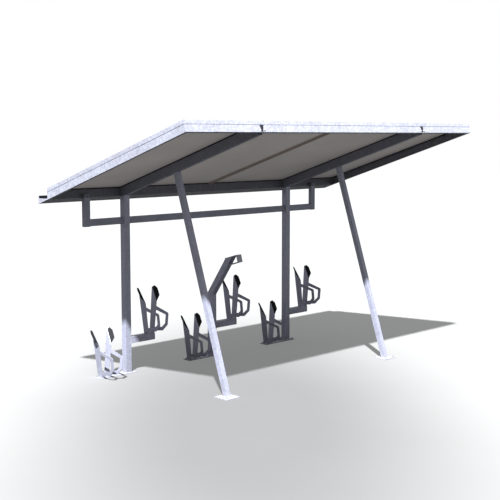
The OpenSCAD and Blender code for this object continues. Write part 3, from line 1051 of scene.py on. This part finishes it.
class SHELTER_OT_weld_beads(bpy.types.Operator):
    """Weld beads round every welded joint of the tubes and plates"""

    bl_idname = "shelter.weld_beads"
    bl_label = "Weld beads"

    def execute(self, context):
        paths = []
        for name in ("post_left", "post_right", "stand_post"):
            low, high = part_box(name)
            paths.append(([Vector((x, y, low.z))
                           for x, y in corners(low.x, high.x, low.y, high.y)], True))
        for side in SIDES:
            paths += side_welds(side)
        low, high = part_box("rail_middle")
        for x in (low.x, high.x):
            paths.append(tube_rim(x, low, high))
        for stand in STANDS:
            low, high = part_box(f"holder_arm_{stand}")
            paths.append(tube_rim(low.x, low, high))
        low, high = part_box("stand_post")
        tilt = math.tan(LEAN / 2)
        paths.append(([Vector((x, y, BEND_HEIGHT + y * tilt))
                       for x, y in corners(low.x, high.x, low.y, high.y)], True))
        back = (high.y - low.y) / 2 / math.cos(RING_TILT + LEAN)
        ring = (high.x - low.x) / 2
        for y in (-back, back):
            paths.append(([on_ring(x, y, 0) for x in (-ring, ring)], False))
        for x in (-ring, ring):
            paths.append(([on_ring(x, y, 0) for y in (-back, back)], False))
        radius = context.scene.shelter_hardware.bead
        beads("weld_beads", "weld_bead", paths, {"Radius": radius})
        return {"FINISHED"}


class SHELTER_OT_tube_plugs(bpy.types.Operator):
    """Plastic plugs in the open ends of the tubes"""

    bl_idname = "shelter.tube_plugs"
    bl_label = "Tube plugs"

    def execute(self, context):
        thick = context.scene.shelter_hardware.plug
        inset, dish = 0.008, -0.0015
        ends = []
        for stand in STANDS:
            low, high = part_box(f"holder_arm_{stand}")
            middle = (low + high) / 2
            place = Matrix.Translation((high.x, middle.y, middle.z))
            turn = Matrix.Rotation(math.pi / 2, 4, "Y")
            ends.append((place @ turn, high.z - low.z, high.y - low.y))
        for side in SIDES:
            low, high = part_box(f"hanger_{side}")
            middle = (low + high) / 2
            place = Matrix.Translation((middle.x, middle.y, low.z))
            turn = Matrix.Rotation(math.pi, 4, "X")
            ends.append((place @ turn, high.x - low.x, high.y - low.y))
        shape = bmesh.new()
        for place, wide, deep in ends:
            made = bmesh.new()
            size = Matrix.Diagonal((wide, deep, thick, 1))
            bmesh.ops.create_cube(
                made, size=1, matrix=Matrix.Translation((0, 0, thick / 2)) @ size)
            rims = []
            for edge in made.edges:
                heights = [corner.co.z for corner in edge.verts]
                if abs(heights[0] - heights[1]) > thick / 2 or min(heights) > thick / 2:
                    rims.append(edge)
            bmesh.ops.bevel(made, geom=rims, offset=thick * 0.55, segments=3,
                            profile=0.5, affect="EDGES")
            top = max(made.faces, key=lambda face: face.calc_center_median().z)
            bmesh.ops.inset_region(made, faces=[top], thickness=inset, depth=dish)
            made.transform(place)
            add_to(shape, made)
        finish_piece("tube_plugs", shape, "plug_plastic")
        return {"FINISHED"}


class SHELTER_OT_painted_shade_sleeves(bpy.types.Operator):
    """Near-black rubber sleeves over the leaves, a dark sheet that paints the leaves' shade"""

    bl_idname = "shelter.rim_guards"
    bl_label = "Rim guards"

    def execute(self, context):
        skin = context.scene.shelter_hardware.guard
        wide = LEAF_WIDTH + skin
        fold = 0.006
        sharp = 1.0
        shape = bmesh.new()
        for holder in HOLDERS:
            for mirrored in (False, True):
                place, length = leaf_frame(holder, mirrored)
                outline = rounded([
                    (2 * fold, -fold, 0),
                    (length * LEAF_NEAR - skin * 0.4, -wide, LEAF_CORNER),
                    (length * LEAF_FAR + skin * 0.5, -wide, LEAF_CORNER),
                    (length * LEAF_TIP + skin, -LEAF_WIDTH * LEAF_TIP_WIDTH, LEAF_TIP_CORNER),
                    (length - fold, -fold, 0)])
                made = bmesh.new()
                prism(made, [[(point.x, point.y, z) for point in outline]
                             for z in (-skin, CHEEK_PLATE + skin)])
                rims = [edge for edge in made.edges if edge.calc_face_angle(0) > sharp]
                bmesh.ops.bevel(made, geom=rims, offset=skin * 0.8, segments=2,
                                profile=0.5, affect="EDGES", clamp_overlap=True)
                made.transform(place)
                bmesh.ops.recalc_face_normals(made, faces=made.faces)
                add_to(shape, made)
        finish_piece("painted_shade_sleeves", shape, "painted_shade_rubber")
        return {"FINISHED"}


class SHELTER_OT_painted_shade_beads(bpy.types.Operator):
    """Dark beads under the boards, along the beams, the rafters and the gutter, as painted shade
    where the boards meet them
    """

    bl_idname = "shelter.seal_beads"
    bl_label = "Seal beads"

    def execute(self, context):
        size = context.scene.shelter_hardware.seal
        level = FRAME_DEPTH - size * 0.7
        edge = ROOF_HALF - SHEET - FRAME_WIDTH
        front = SHEET + FRAME_WIDTH - ROOF_REACH
        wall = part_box("gutter")[0].y
        back = (wall - level * math.sin(PITCH)) / math.cos(PITCH) - size
        low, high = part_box("rafter_right")
        near, far = low.x - size * 0.4, high.x + size * 0.4
        spine = 0.03
        paths = []
        for side in (-1, 1):
            for x in (near, far, edge + size * 0.4):
                paths.append(([on_slope(side * x, down, level) for down in (front, back)], False))
            for down in (front - size * 0.4, back + size * 0.6):
                for ends in ((spine, near), (far, edge)):
                    paths.append(([on_slope(side * x, down, level) for x in ends], False))
        values = {"Radius": size, "Step": 0.05, "Ripple": 0.05, "Ripple length": 0.31}
        beads("painted_shade_beads", "painted_shade_bead", paths, values)
        return {"FINISHED"}


class SHELTER_OT_notch_shade_plugs(bpy.types.Operator):
    """Near-black plastic stoppers in the front beam's notches, as painted shade inside them"""

    bl_idname = "shelter.notch_plugs"
    bl_label = "Notch plugs"

    def execute(self, context):
        web = SHEET - ROOF_REACH
        proud, deep = 0.0015, 0.007
        rounding, inset, dish = 0.0012, 0.005, -0.001
        outline = ((-NOTCH_FOOT, NOTCH_LOW), (NOTCH_FOOT, NOTCH_LOW),
                   (NOTCH_HEAD, NOTCH_HIGH), (-NOTCH_HEAD, NOTCH_HIGH))
        # painted shade: dark stoppers fill the notches
        shape = bmesh.new()
        for side in SIDES:
            middle = middle_x(f"post_{side}")
            made = bmesh.new()
            prism(made, [[on_slope(middle + x, down, square) for x, square in outline]
                         for down in (web - proud, web + deep)])
            bmesh.ops.bevel(made, geom=list(made.edges), offset=rounding, segments=2,
                            profile=0.5, affect="EDGES")
            front = min(made.faces, key=lambda face: face.calc_center_median().y)
            bmesh.ops.inset_region(made, faces=[front], thickness=inset, depth=dish)
            add_to(shape, made)
        finish_piece("notch_shade_plugs", shape, "plug_plastic")
        return {"FINISHED"}


class SHELTER_OT_stage(bpy.types.Operator):
    """Pale floor, sun, soft sky and camera"""

    bl_idname = "shelter.stage"
    bl_label = "Stage"

    def execute(self, context):
        stage = context.scene.shelter_stage
        make_floor()
        make_light(stage)
        make_camera(stage)
        context.scene.view_settings.view_transform = "Standard"
        context.scene.view_settings.look = "None"
        return {"FINISHED"}


OPERATORS = (
    SHELTER_OT_finish_frame,
    SHELTER_OT_ground_anchors,
    SHELTER_OT_holder_bolts,
    SHELTER_OT_frame_bolts,
    SHELTER_OT_roof_screws,
    SHELTER_OT_trim_rivets,
    SHELTER_OT_joint_cover,
    SHELTER_OT_weld_beads,
    SHELTER_OT_tube_plugs,
    SHELTER_OT_painted_shade_sleeves,
    SHELTER_OT_painted_shade_beads,
    SHELTER_OT_notch_shade_plugs,
    SHELTER_OT_stage,
)


class SHELTER_PT_tools(bpy.types.Panel):
    """Lists the shelter's operators and settings"""

    bl_idname = "SHELTER_PT_tools"
    bl_label = "Bike shelter"
    bl_space_type = "VIEW_3D"
    bl_region_type = "UI"
    bl_category = "Shelter"

    def draw(self, context):
        for operator in OPERATORS:
            self.layout.operator(operator.bl_idname)
        for group in (context.scene.shelter_finish, context.scene.shelter_hardware,
                      context.scene.shelter_stage):
            box = self.layout.box()
            for name in group.__annotations__:
                box.prop(group, name)


CLASSES = (ShelterFinish, ShelterHardware, ShelterStage, *OPERATORS, SHELTER_PT_tools)


def register():
    """Adds the classes and the settings that the scene keeps."""
    for cls in CLASSES:
        bpy.utils.register_class(cls)
    bpy.types.Scene.shelter_finish = PointerProperty(type=ShelterFinish)
    bpy.types.Scene.shelter_hardware = PointerProperty(type=ShelterHardware)
    bpy.types.Scene.shelter_stage = PointerProperty(type=ShelterStage)


def unregister():
    """Takes the settings and the classes away again."""
    del bpy.types.Scene.shelter_stage
    del bpy.types.Scene.shelter_hardware
    del bpy.types.Scene.shelter_finish
    for cls in reversed(CLASSES):
        bpy.utils.unregister_class(cls)


def main():
    """Builds every piece in order."""
    register()
    for operator in OPERATORS:
        area, name = operator.bl_idname.split(".")
        getattr(getattr(bpy.ops, area), name)()


if __name__ == "__main__":
    main()
